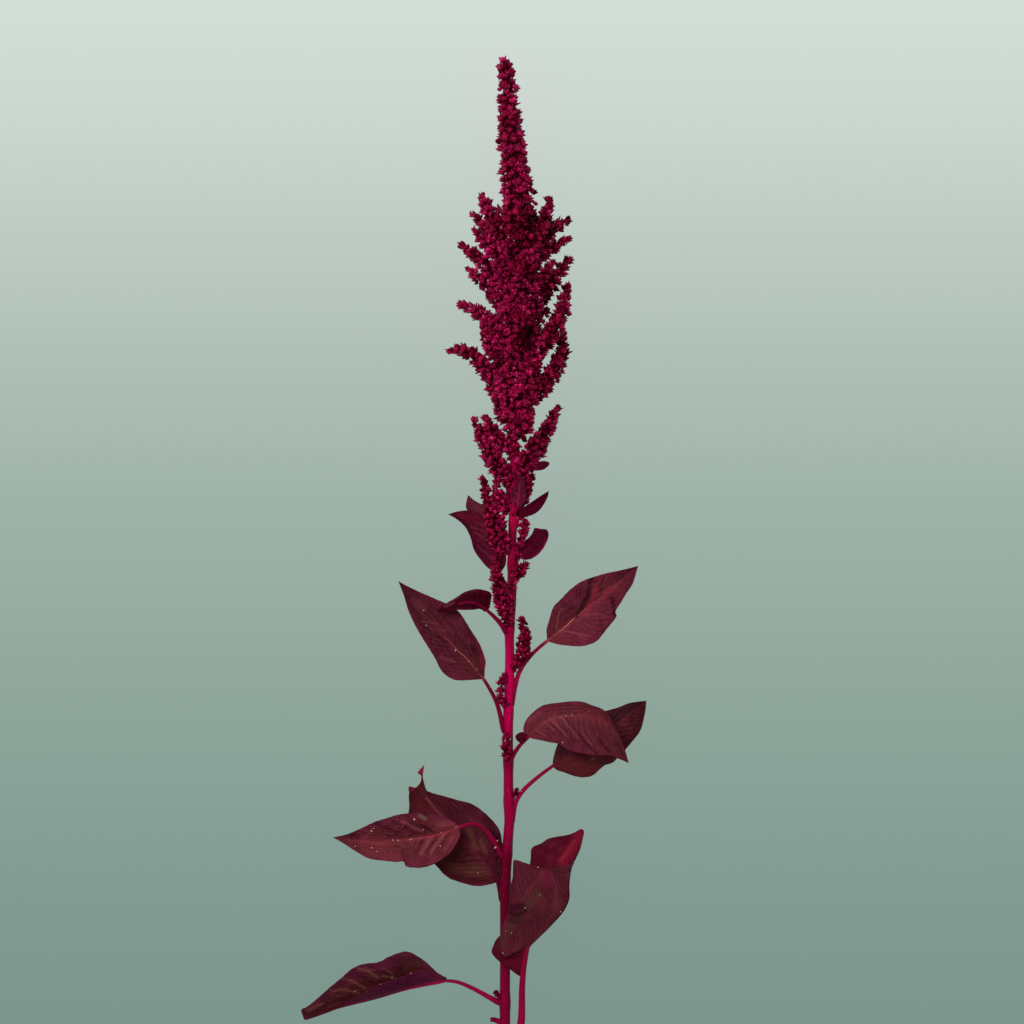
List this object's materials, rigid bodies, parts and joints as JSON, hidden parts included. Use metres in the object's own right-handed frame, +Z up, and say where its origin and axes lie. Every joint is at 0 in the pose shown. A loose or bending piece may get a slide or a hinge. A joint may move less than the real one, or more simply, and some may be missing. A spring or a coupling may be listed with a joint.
{
  "type": "amaranth seed head",
  "caption": "Cut stem of red amaranth lying on its back: plumed crimson seed head, magenta stalk, dark burgundy leaves.",
  "frame": {"origin": "on the surface under the middle of the plant's box", "axes": "+Y along the stem from the cut end to the tip, +Z up from the surface, +X to the right seen from above with the tip away"},
  "size_m": [0.2416, 0.705, 0.0571],
  "materials": {
    "stalk": "satin",
    "leaf": "matte",
    "floret": "matte"
  },
  "bodies": {
    "root": {"stem": "stalk", "leaf_bottom_left": "leaf", "leaf_left_front": "leaf", "leaf_left_back": "leaf", "leaf_right_bottom": "leaf", "leaf_right_middle_front": "leaf", "leaf_right_middle_back": "leaf", "leaf_right_upper": "leaf", "leaf_left_upper": "leaf", "leaf_left_small_folded": "leaf", "leaf_left_bract": "leaf", "leaf_left_bract_back": "leaf", "leaf_right_bract": "leaf", "leaf_right_bract_blunt": "leaf", "leaf_front_bract": "leaf", "axillary_spike_left_top": "floret", "axillary_spike_left_middle": "floret", "axillary_spike_left_inner": "floret", "axillary_spike_left_low": "floret", "axillary_cluster_front": "floret", "axillary_spike_right_top": "floret", "axillary_cluster_right": "floret", "axillary_spike_right_middle": "floret", "axil_bud_right": "floret", "axil_bud_left": "floret", "seed_head": "floret"}
  },
  "joints": []
}
